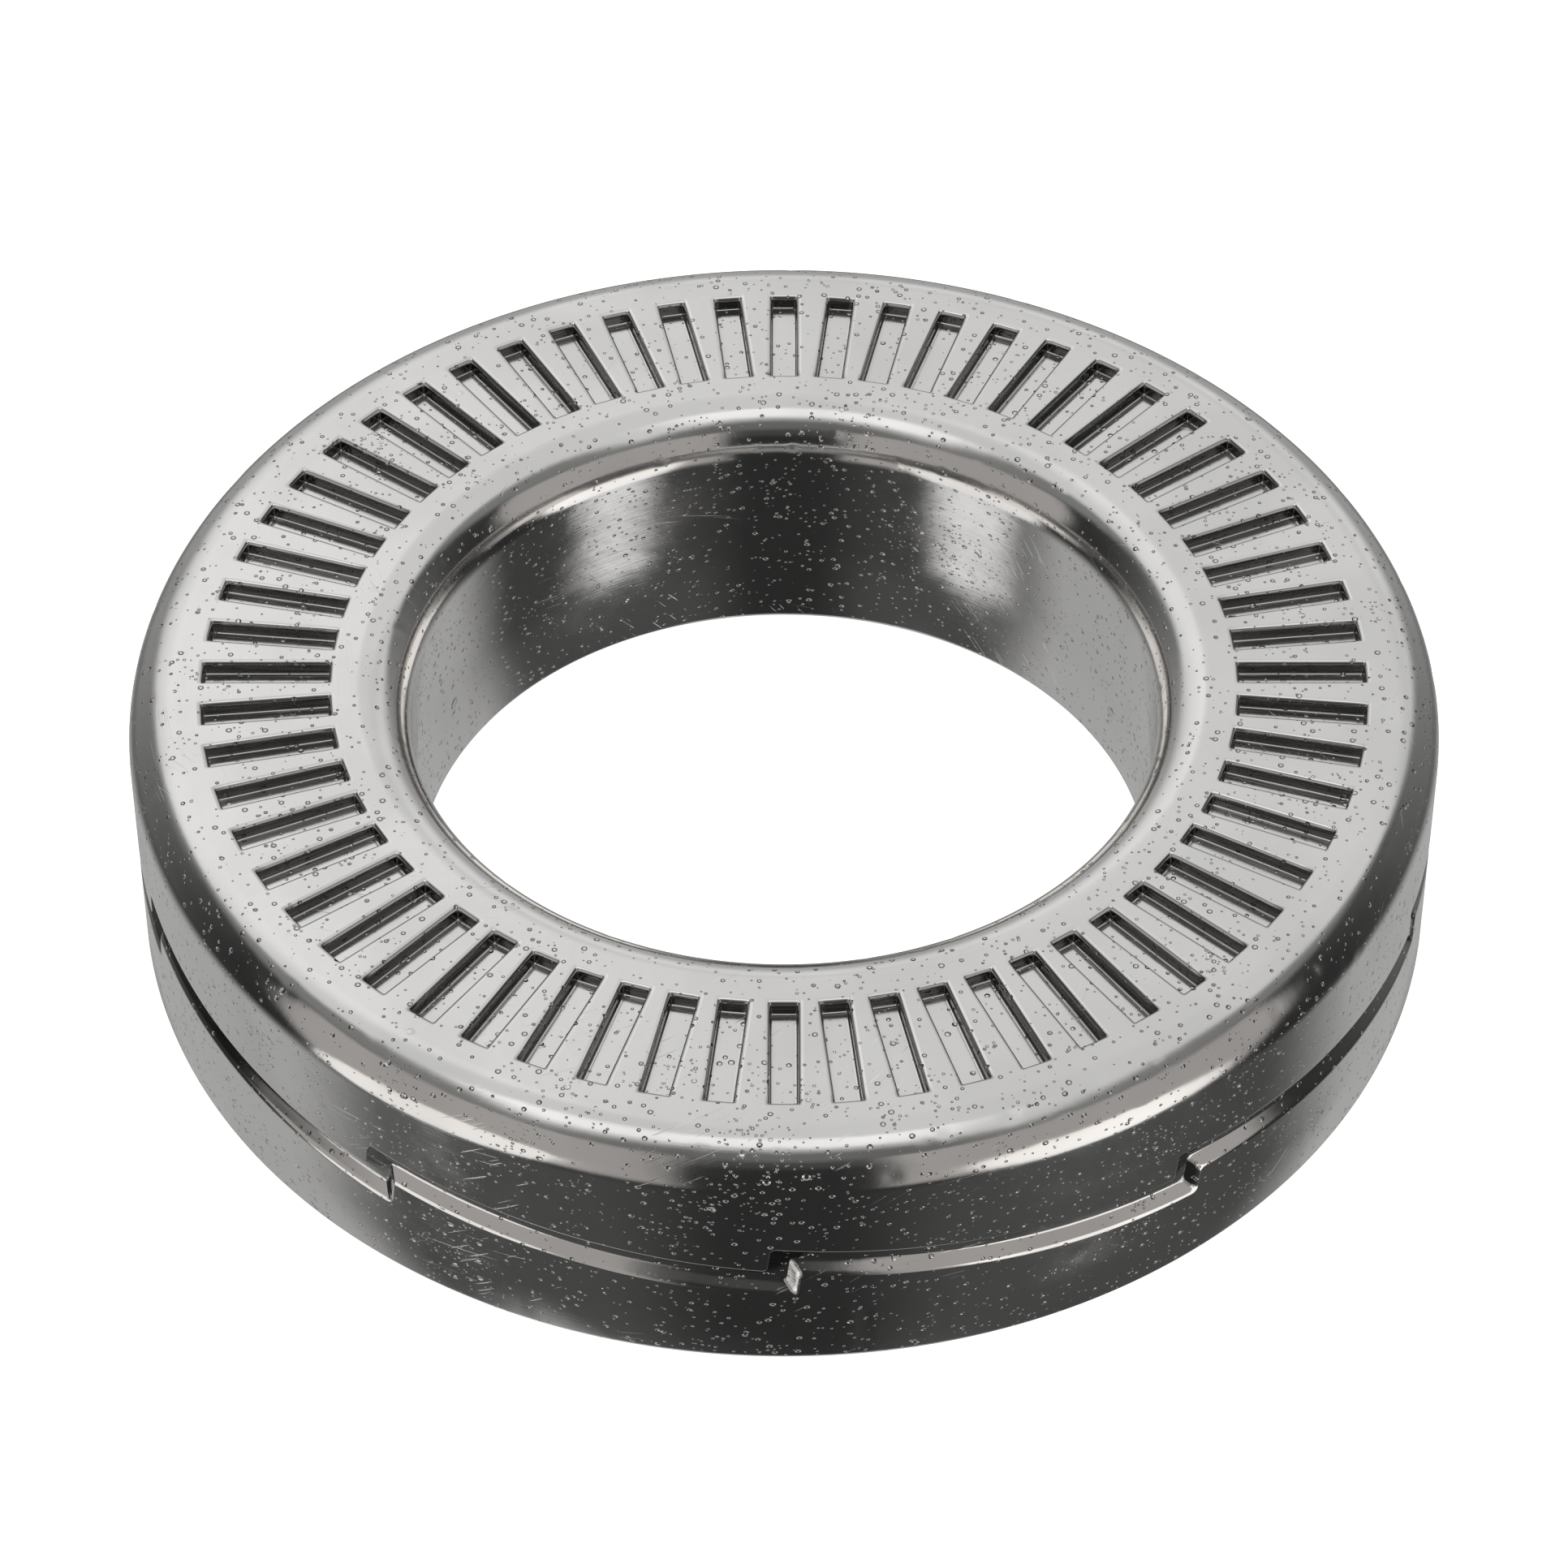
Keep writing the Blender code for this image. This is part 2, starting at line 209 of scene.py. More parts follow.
def column_shift(curve, mm_per_deg):
    """Index shift so that uniform columns meet the curve's columns closest."""
    deg = curve[:, 0] / mm_per_deg
    best = min(range(-12, 13), key=lambda s: float(np.abs(
        np.roll(deg, s) + np.where(np.arange(COLUMNS) < s, -360.0, 0.0)
        + np.where(np.arange(COLUMNS) >= COLUMNS + s, 360.0, 0.0)
        - np.arange(COLUMNS) * 360.0 / COLUMNS).mean()))
    return best


def skirt_rows(low, offset, wall_z, sign, lip, ledge, behind, end_z):
    """Rows of a skirt near its sawtooth edge: from the plain wall to the edge, round
    its lip, along its sloping face and up the wall behind, with the painted shade on each.

    sign +1 puts the material above the edge.  lip and ledge hold (depth, offset into
    the material, rise) from the wall inwards; behind holds (height, painted shade) on the
    wall at the ledge's end, which runs on to end_z."""
    curve, miter, mpd = tooth_curve(low, offset)
    shift = column_shift(curve, mpd)
    idx = (np.arange(COLUMNS) - shift) % COLUMNS
    wrap = np.where(np.arange(COLUMNS) < shift, -360.0, 0.0) \
        + np.where(np.arange(COLUMNS) >= COLUMNS + shift, 360.0, 0.0)
    base = curve[idx]
    deg = base[:, 0] / mpd + wrap
    mit = miter[idx] * sign
    uni = np.arange(COLUMNS) * 360.0 / COLUMNS
    per = COLUMNS // TEETH
    riser = ((idx % per) >= 2) & ((idx % per) <= 13)
    turn = (deg + 180.0) % 360.0 - 180.0
    # painted shade on the slot ledge from about -48 to -110 degrees of azimuth, darkening
    # that side of the slot
    left_ledge_shade = np.clip((-36.0 - turn) / 12.0, 0.0, 1.0) * (turn > -110.0)
    rows, shade_per_row = [], []

    def put(points, painted_shade=0.0):
        rows.append(points)
        shade_per_row.append(np.full(COLUMNS, 0.0) + painted_shade)

    def at(depth, off, rise):
        r = OUTER_R - depth
        return [polar(r, e + m[0] * off / mpd - SKEW * depth, z[1] + m[1] * off + rise)
                for e, m, z in zip(deg, mit, base)]
    first = lip[0][1] + 0.05
    edge = [(e + m[0] * first / mpd, z[1] + m[1] * first + lip[0][2])
            for e, m, z in zip(deg, mit, base)]
    for t in (0.0, 0.25, 0.5, 0.72, 0.88, 1.0):
        s = t * t * (3 - 2 * t)
        put([polar(OUTER_R, u * (1 - s) + e[0] * s, wall_z * (1 - t) + e[1] * t)
             for u, e in zip(uni, edge)])
    for depth, off, rise in lip:
        put(at(depth, off, rise))
    for depth, off, rise in ledge:
        # the ledge rows carry painted shade: half on the risers, up to 0.85 on the left
        # side
        put(at(depth, off, rise),
            np.clip(np.where(riser, 0.5, 0.0) + 0.85 * left_ledge_shade, 0.0, 0.85))
    depth, off, rise = ledge[-1]
    for n, (h, g) in enumerate(behind):
        s = 0.8 * (n + 1) / len(behind)
        put([polar(OUTER_R - depth, (e - SKEW * depth) * (1 - s) + u * s,
                   z[1] + rise + h) for e, z, u in zip(deg, base, uni)], g)
    put([polar(OUTER_R - depth, u, end_z) for u in uni], behind[-1][1])
    return rows, shade_per_row


def ring_rows(points):
    return [[polar(r, 360.0 * j / COLUMNS, z) for j in range(COLUMNS)]
            for r, z in points]


def loft(rows, verts, faces, closed=False, shade_per_row=None, painted_shade=None):
    start = len(verts)
    for i, row in enumerate(rows):
        verts.extend(row)
        painted_shade.extend([0.0] * len(row) if shade_per_row[i] is None else list(shade_per_row[i]))
    n = len(rows[0])
    last = len(rows) if closed else len(rows) - 1
    for i in range(last):
        a = start + i * n
        b = start + ((i + 1) % len(rows)) * n
        for j in range(n):
            k = (j + 1) % n
            faces.append((a + j, a + k, b + k, b + j))


# --------------------------------------------------------------------- pocket sectors
POCKETS = 60
P_IN, P_OUT, P_W, P_D = 24.1, 31.1, 1.65, 0.8
P_LIP = 0.27                          # round of a pocket's upper edge
FLAT_IN, FLAT_OUT = 22.8, 32.3


def pocket_loop(offset, z):
    """A rounded rectangle in the pocket's own frame (x outwards, y along +azimuth)."""
    a = (P_OUT - P_IN) / 2.0 - P_LIP / 2.0 + offset
    b = P_W / 2.0 - P_LIP / 2.0 + offset
    c = 0.08 + 0.25 * max(0.0, offset)
    mid = (P_OUT + P_IN) / 2.0
    pts = []

    def corner(cx, cy, t0, t1, steps):
        return [(cx + c * math.cos(math.radians(t0 + (t1 - t0) * i / steps)),
                 cy + c * math.sin(math.radians(t0 + (t1 - t0) * i / steps)))
                for i in range(steps)]
    # start in the middle of the corner at +x, -y and go round counter-clockwise
    pts += corner(a - c, -(b - c), -45, 0, 2)
    pts += [(a, -(b - c) + 2 * (b - c) * i / 6) for i in range(6)]
    pts += corner(a - c, b - c, 0, 90, 4)
    pts += [((a - c) - 2 * (a - c) * i / 12, b) for i in range(12)]
    pts += corner(-(a - c), b - c, 90, 180, 4)
    pts += [(-a, (b - c) - 2 * (b - c) * i / 6) for i in range(6)]
    pts += corner(-(a - c), -(b - c), 180, 270, 4)
    pts += [(-(a - c) + 2 * (a - c) * i / 12, -b) for i in range(12)]
    pts += corner(a - c, -(b - c), 270, 315, 2)
    return [(mid + x, y, z) for x, y in pts]


def sector_loop():
    """The sector's boundary, point for point with pocket_loop."""
    out = []
    half = 360.0 / POCKETS / 2.0

    def p(r, deg):
        a = math.radians(deg)
        return (r * math.cos(a), r * math.sin(a), HEIGHT)
    out += [p(FLAT_OUT, -half + 2 * half * i / 10) for i in range(10)]
    out += [p(FLAT_OUT + (FLAT_IN - FLAT_OUT) * i / 16, half) for i in range(16)]
    out += [p(FLAT_IN, half - 2 * half * i / 10) for i in range(10)]
    out += [p(FLAT_IN + (FLAT_OUT - FLAT_IN) * i / 16, -half) for i in range(16)]
    return out


def pocket_sectors(verts, faces, painted_shade):
    rl, rf = P_LIP, 0.10
    loops = [sector_loop()]
    shade_per_row = [0.0]
    edge = pocket_loop(rl + 0.04, HEIGHT)
    for t in (0.45, 0.8):
        loops.append([tuple(np.array(p) * (1 - t) + np.array(q) * t)
                      for p, q in zip(loops[0], edge)])
        shade_per_row.append(0.0)
    loops.append(edge)
    shade_per_row.append(0.0)
    # painted shade down the pocket's lip and wall, rising to full at its foot
    for i, g in enumerate((0.0, 0.08, 0.2, 0.36, 0.55, 0.8, 1.0)):
        t = math.radians(90.0 * i / 6)
        loops.append(pocket_loop(rl * (1 - math.sin(t)),
                                 HEIGHT - rl * (1 - math.cos(t))))
        shade_per_row.append(g)
    floor = HEIGHT - P_D
    # painted shade in the floor's corner fillet, fading out onto the floor
    for i, g in enumerate((1.0, 0.8, 0.45, 0.15, 0.1)):
        t = math.radians(90.0 * i / 4)
        loops.append(pocket_loop(-rf * (1 - math.cos(t)),
                                 floor + rf * (1 - math.sin(t))))
        shade_per_row.append(g)
    loops.append(pocket_loop(-rf - 0.04, floor))
    shade_per_row.append(0.04)
    loops.append(pocket_loop(-rf - 0.25, floor))
    shade_per_row.append(0.0)
    n = len(loops[0])
    for k in range(POCKETS):
        base = len(verts)
        a = math.radians(360.0 * k / POCKETS)
        ca, sa = math.cos(a), math.sin(a)
        mid = (P_OUT + P_IN) / 2.0
        for i, (loop, g) in enumerate(zip(loops, shade_per_row)):
            for j, (x, y, z) in enumerate(loop):
                # x outwards from the axis at azimuth a, y towards +azimuth
                verts.append((x * sa + y * ca, -x * ca + y * sa, z))
                if 5 <= i <= 9:
                    # painted shade: the lips get more of it the more their pocket lies
                    # towards +Y from them
                    in_x, in_y = ((-1.0, 0.0) if x > mid + 3.2 else
                                  (1.0, 0.0) if x < mid - 3.2 else
                                  (0.0, -1.0) if y > 0 else (0.0, 1.0))
                    back = -in_x * ca + in_y * sa
                    painted_shade.append(max(0.0, min(0.9, g * (0.55 + 1.5 * back)
                                              + 0.28 * max(0.0, back))))
                else:
                    painted_shade.append(g)
        for i in range(len(loops) - 1):
            for j in range(n):
                m = (j + 1) % n
                faces.append((base + i * n + j, base + i * n + m,
                              base + (i + 1) * n + m, base + (i + 1) * n + j))
        last = base + (len(loops) - 1) * n
        faces.append(tuple(last + j for j in range(n)))


# -------------------------------------------------------------------------- housings
def nick(verts, seed, spots):
    """Small dents along the rims: each pulls the points near a spot inwards."""
    rng = np.random.default_rng(seed)
    v = np.array(verts)
    for kind, count, size, depth in spots:
        for _ in range(count):
            a = rng.uniform(0, 360)
            if kind == "rim":
                t = rng.uniform(25, 80)
                c = np.array(polar(OUTER_R - RIM + RIM * math.sin(math.radians(t)), a,
                                   HEIGHT - RIM + RIM * math.cos(math.radians(t))))
                n = np.array(polar(math.sin(math.radians(t)), a,
                                   math.cos(math.radians(t))))
            elif kind == "lip":
                t = rng.uniform(20, 80)
                c = np.array(polar(BORE_R + LIP - LIP * math.sin(math.radians(t)), a,
                                   HEIGHT - LIP + LIP * math.cos(math.radians(t))))
                n = np.array(polar(-math.sin(math.radians(t)), a,
                                   math.cos(math.radians(t))))
            else:
                c = np.array(polar(OUTER_R, a, rng.uniform(*kind)))
                n = np.array(polar(1.0, a, 0.0))
            s = size * rng.uniform(0.6, 1.3)
            d = depth * rng.uniform(0.5, 1.3)
            dist = np.linalg.norm(v - c, axis=1)
            near = dist < s
            v[near] -= n * (d * (1 - (dist[near] / s) ** 2) ** 2)[:, None]
    return [tuple(p) for p in v]


def upper_housing():
    verts, faces, painted_shade = [], [], []
    rows = ring_rows([(FLAT_OUT, HEIGHT)]
                     + arc(OUTER_R - RIM, HEIGHT - RIM, RIM, 90.0, 0.0, 18))
    shade_per_row = [None] * len(rows)
    # the two rows up the wall behind the ledge carry painted shade of 0.5 and 0.6
    r2, s2 = skirt_rows(SKIRT_LOW, -RISER_OFF, HEIGHT - RIM - 0.15, 1.0,
                        [(0.0, 0.05, 0.0), (0.012, 0.018, 0.0), (0.04, 0.0, 0.0)],
                        [(0.09, 0.0, 0.06), (0.2, 0.0, 0.21), (0.35, 0.0, 0.40)],
                        [(0.08, 0.5), (0.25, 0.6)], 9.0)
    rows += r2
    shade_per_row += s2
    inside = rounded(
        [(34.65, 9.05), (34.65, 9.1), (SKIRT_IN, 9.1), (SKIRT_IN, 11.4), (32.6, 11.4),
         (32.6, 12.45), (22.0, 12.45), (22.0, 1.9), (21.25, 1.9), (21.25, 0.9),
         (22.0, 0.9), (22.0, 0.25), (20.0, 0.25), (20.0, 6.0)],
        [0.0, 0.0, 0.15, 0.2, 0.15, 0.1, 0.25, 0.08, 0.05, 0.05, 0.08, 0.15, 0.35, 0.0],
        4)
    rest = ring_rows(inside)
    rest += ring_rows([(20.0, z) for z in (8.0, 10.0, 11.6, 12.2)])
    rest += ring_rows(arc(BORE_R + LIP, HEIGHT - LIP, LIP, 180.0, 90.0, 18))
    rest += ring_rows([(FLAT_IN, HEIGHT)])
    rows += rest
    shade_per_row += [None] * len(rest)
    loft(rows, verts, faces, shade_per_row=shade_per_row, painted_shade=painted_shade)
    pocket_sectors(verts, faces, painted_shade)
    verts = nick(verts, 11, [("rim", 46, 0.5, 0.03), ("lip", 30, 0.45, 0.03),
                             ((8.9, 12.2), 22, 0.45, 0.035)])
    return finish_mesh("upper_housing_fine", verts, faces, weld=0.004, painted_shade=painted_shade)


def lower_housing():
    verts, faces, painted_shade = [], [], []
    turn, big = 38.0, 0.58
    lip = []
    for i in range(8):
        t = math.radians(turn * i / 7)
        height = big * math.sin(t) - big * math.tan(math.radians(turn / 2))
        off = 0.11 * (1 - i / 7) ** 1.5
        lip.append((big * (1 - math.cos(t)), off, height + off))
    ledge = [(d, 0.0, LEDGE_SLOPE * d) for d in (0.18, 0.27, 0.36, 0.44)]
    ledge += [(0.485, 0.0, 0.64), (0.5, 0.0, 0.70)]
    # the second number of each row behind the ledge is painted shade, rising to 0.9 towards
    # the skirt's edge
    rows, shade_per_row = skirt_rows(SEAT_LOW, RISER_OFF, 3.4, -1.0, lip, ledge,
                            [(0.08, 0.0), (0.34, 0.05), (0.50, 0.35), (0.66, 0.85),
                             (0.85, 0.9)], 8.45)
    rows += ring_rows(rounded([(34.5, 8.6), (34.5, 8.75), (SKIRT_IN, 8.75),
                               (SKIRT_IN, 8.0)], [0.0, 0.12, 0.12, 0.0], 4))
    shade_per_row += [None] * (len(rows) - len(shade_per_row))
    rows = rows[::-1]
    shade_per_row = shade_per_row[::-1]
    outside = rounded([(OUTER_R, 3.3), (OUTER_R, 0.0), (24.4, 0.0), (24.4, 2.1),
                       (22.6, 2.1), (22.6, 5.0), (24.7, 5.0), (24.7, 3.0),
                       (SKIRT_IN, 3.0), (SKIRT_IN, 3.25)],
                      [0.0, 0.3, 0.25, 0.1, 0.2, 0.2, 0.2, 0.1, 0.1, 0.0], 4)
    rest = ring_rows(outside)
    rows += rest
    shade_per_row += [None] * len(rest)
    loft(rows, verts, faces, closed=True, shade_per_row=shade_per_row, painted_shade=painted_shade)
    verts = nick(verts, 23, [((0.5, 4.6), 34, 0.45, 0.035)])
    return finish_mesh("lower_housing_fine", verts, faces, weld=0.004, painted_shade=painted_shade)


# ------------------------------------------------------------------- rings and balls
BALL_R, PITCH_R, BALL_Z, RACEWAY_R, BALLS = 2.5, 28.0, 7.5, 2.6, 20


def lower_race():
    e = math.degrees(math.acos((BALL_Z - 5.6) / RACEWAY_R))
    groove = arc(PITCH_R, BALL_Z, RACEWAY_R, 270.0 - e, 270.0 + e, 16)
    body = rounded([(32.4, 5.6), (32.4, 3.15), (24.9, 3.15), (24.9, 5.6)],
                   [0.3, 0.4, 0.4, 0.3], 4)
    cut = 15                                   # the groove opens on the upper face
    return turned("lower_race_fine", body + groove, 240)


def upper_race():
    e = math.degrees(math.acos((9.4 - BALL_Z) / RACEWAY_R))
    groove = arc(PITCH_R, BALL_Z, RACEWAY_R, 90.0 - e, 90.0 + e, 16)
    left = rounded([(PITCH_R, 9.4), (22.2, 9.4), (22.2, 12.3), (32.4, 12.3),
                    (32.4, 9.4), (PITCH_R, 9.4)],
                   [0.0, 0.3, 0.4, 0.4, 0.3, 0.0], 4)[1:-1]
    return turned("upper_race_fine", left + groove, 240)


def ball_cage():
    """A machined ring whose pockets are drilled through and chamfered."""
    top, bottom = BALL_Z + 1.2, BALL_Z - 1.2
    ring = turned("ball_cage_fine",
                  rounded([(31.1, top), (31.1, bottom), (24.9, bottom), (24.9, top)],
                          [0.25] * 4, 3), 240)
    bm = bmesh.new()
    for k in range(BALLS):
        a = (k + 0.5) * 360.0 / BALLS
        place = Matrix.Translation([c * MM for c in polar(PITCH_R, a, BALL_Z)])
        # drill with a chamfer at each mouth: a turned spool
        prof = [(3.25, 2.2), (2.95, 1.2 + 0.02), (2.75, 1.0), (2.75, -1.0),
                (2.95, -1.2 - 0.02), (3.25, -2.2)]
        rings = []
        for r, z in prof:
            rings.append([bm.verts.new(place @ Vector(
                (r * math.cos(2 * math.pi * j / 48) * MM,
                 r * math.sin(2 * math.pi * j / 48) * MM, z * MM)))
                for j in range(48)])
        for a_, b_ in zip(rings, rings[1:]):
            for j in range(48):
                m = (j + 1) % 48
                bm.faces.new((a_[j], a_[m], b_[m], b_[j]))
        bm.faces.new(rings[0])
        bm.faces.new(rings[-1])
    clean_normals(bm)
    me = bpy.data.meshes.new("cage_drills")
    bm.to_mesh(me)
    bm.free()
    drill = bpy.data.objects.new("cage_drills", me)
    bpy.context.scene.collection.objects.link(drill)
    mod = ring.modifiers.new("drill", "BOOLEAN")
    mod.operation = "DIFFERENCE"
    mod.solver = "EXACT"
    mod.object = drill
    bpy.context.view_layer.update()
    graph = bpy.context.evaluated_depsgraph_get()
    mesh = bpy.data.meshes.new_from_object(ring.evaluated_get(graph))
    ring.modifiers.clear()
    old = ring.data
    ring.data = mesh
    mesh.name = "ball_cage_fine"
    bpy.data.meshes.remove(old)
    bpy.data.objects.remove(drill, do_unlink=True)
    mesh.shade_smooth()
    mesh.set_sharp_from_angle(angle=math.radians(30))
    return ring


def ball_mesh():
    """A sphere from a rounded cube, so that it has no poles."""
    bm = bmesh.new()
    bmesh.ops.create_cube(bm, size=2.0)
    bmesh.ops.subdivide_edges(bm, edges=bm.edges, cuts=15, use_grid_fill=True)
    for v in bm.verts:
        x, y, z = v.co
        v.co = Vector((x * math.sqrt(max(0, 1 - y * y / 2 - z * z / 2 + y * y * z * z / 3)),
                       y * math.sqrt(max(0, 1 - z * z / 2 - x * x / 2 + z * z * x * x / 3)),
                       z * math.sqrt(max(0, 1 - x * x / 2 - y * y / 2 + x * x * y * y / 3)))
                      ).normalized() * (BALL_R * MM)
    clean_normals(bm)
    me = bpy.data.meshes.new("ball_fine")
    bm.to_mesh(me)
    bm.free()
    me.shade_smooth()
    return me


def retaining_ring():
    """An open spring ring whose section narrows and rounds off towards its ends."""
    z0, z1, gap = 1.0, 1.8, 7.2
    inner, outer = 21.4, 24.1
    n = 300
    ts = [gap + (360.0 - 2 * gap) * i / (n - 1) for i in range(n)]
    prof = rounded([(outer, z1), (outer, z0), (inner, z0), (inner, z1)], [0.12] * 4, 2)
    verts, faces = [], []
    for t in ts:
        d = min(t - gap, 360.0 - gap - t)
        for r, z in prof:
            # the section narrows towards its ends, and its corners are rounded off
            k = min(1.0, 0.70 + 0.30 * min(1.0, d / 60.0))
            rr = inner + (r - inner) * k
            if d < 1.2:
                w = math.sqrt(max(0.0, 1 - (1 - d / 1.2) ** 2))
                mid = inner + (outer - inner) * k / 2
                rr = mid + (rr - mid) * (0.72 + 0.28 * w)
            verts.append(polar(rr, t, z))
    m = len(prof)
    for i in range(n - 1):
        for j in range(m):
            q = (j + 1) % m
            faces.append((i * m + j, i * m + q, (i + 1) * m + q, (i + 1) * m + j))
    faces.append(tuple(range(m)))
    faces.append(tuple((n - 1) * m + j for j in range(m)))
    return finish_mesh("retaining_ring_fine", verts, faces)


# ======================================================================== materials
class Graph:
    def __init__(self, tree):
        self.t = tree

    def node(self, kind, **props):
        n = self.t.nodes.new(kind)
        for k, v in props.items():
            setattr(n, k, v)
        return n

    def put(self, socket, value):
        if isinstance(value, bpy.types.NodeSocket):
            self.t.links.new(value, socket)
        else:
            socket.default_value = value

    def m(self, op, a, b=None, c=None, clamp=False):
        n = self.node("ShaderNodeMath", operation=op, use_clamp=clamp)
        self.put(n.inputs[0], a)
        if b is not None:
            self.put(n.inputs[1], b)
        if c is not None:
            self.put(n.inputs[2], c)
        return n.outputs[0]

    def add(self, *xs):
        out = xs[0]
        for x in xs[1:]:
            out = self.m("ADD", out, x)
        return out

    def mul(self, *xs):
        out = xs[0]
        for x in xs[1:]:
            out = self.m("MULTIPLY", out, x)
        return out

    def step(self, x, lo, hi, smooth=True):
        """0 below lo and 1 above hi (either order)."""
        n = self.node("ShaderNodeMapRange",
                      interpolation_type="SMOOTHSTEP" if smooth else "LINEAR")
        n.clamp = True
        flip = lo > hi
        self.put(n.inputs["Value"], x)
        n.inputs["From Min"].default_value = min(lo, hi)
        n.inputs["From Max"].default_value = max(lo, hi)
        n.inputs["To Min"].default_value = 1.0 if flip else 0.0
        n.inputs["To Max"].default_value = 0.0 if flip else 1.0
        return n.outputs["Result"]

    def xyz(self, vec):
        n = self.node("ShaderNodeSeparateXYZ")
        self.put(n.inputs[0], vec)
        return n.outputs

    def vec(self, x, y, z):
        n = self.node("ShaderNodeCombineXYZ")
        for s, v in zip(n.inputs, (x, y, z)):
            self.put(s, v)
        return n.outputs[0]

    def scale(self, vec, s):
        n = self.node("ShaderNodeVectorMath", operation="SCALE")
        self.put(n.inputs[0], vec)
        n.inputs["Scale"].default_value = s
        return n.outputs[0]

    def noise(self, vec, scale, detail=2.0, rough=0.5, dist=0.0):
        n = self.node("ShaderNodeTexNoise", noise_dimensions="3D")
        self.put(n.inputs["Vector"], vec)
        n.inputs["Scale"].default_value = scale
        n.inputs["Detail"].default_value = detail
        n.inputs["Roughness"].default_value = rough
        n.inputs["Distortion"].default_value = dist
        return n.outputs["Fac"]

    def cells(self, vec, scale):
        n = self.node("ShaderNodeTexVoronoi", voronoi_dimensions="3D",
                      feature="F1", distance="EUCLIDEAN")
        self.put(n.inputs["Vector"], vec)
        n.inputs["Scale"].default_value = scale
        n.inputs["Randomness"].default_value = 1.0
        return n.outputs["Distance"], n.outputs["Color"]

    def mix_rgb(self, fac, a, b):
        n = self.node("ShaderNodeMix", data_type="RGBA", blend_type="MIX")
        self.put(n.inputs[0], fac)
        for s, v in ((n.inputs[6], a), (n.inputs[7], b)):
            self.put(s, v if isinstance(v, bpy.types.NodeSocket) else (*v, 1.0))
        return n.outputs[2]


def new_material(name):
    mat = bpy.data.materials.new(name)
    mat.use_nodes = True
    g = Graph(mat.node_tree)
    bsdf = mat.node_tree.nodes["Principled BSDF"]
    return mat, g, bsdf


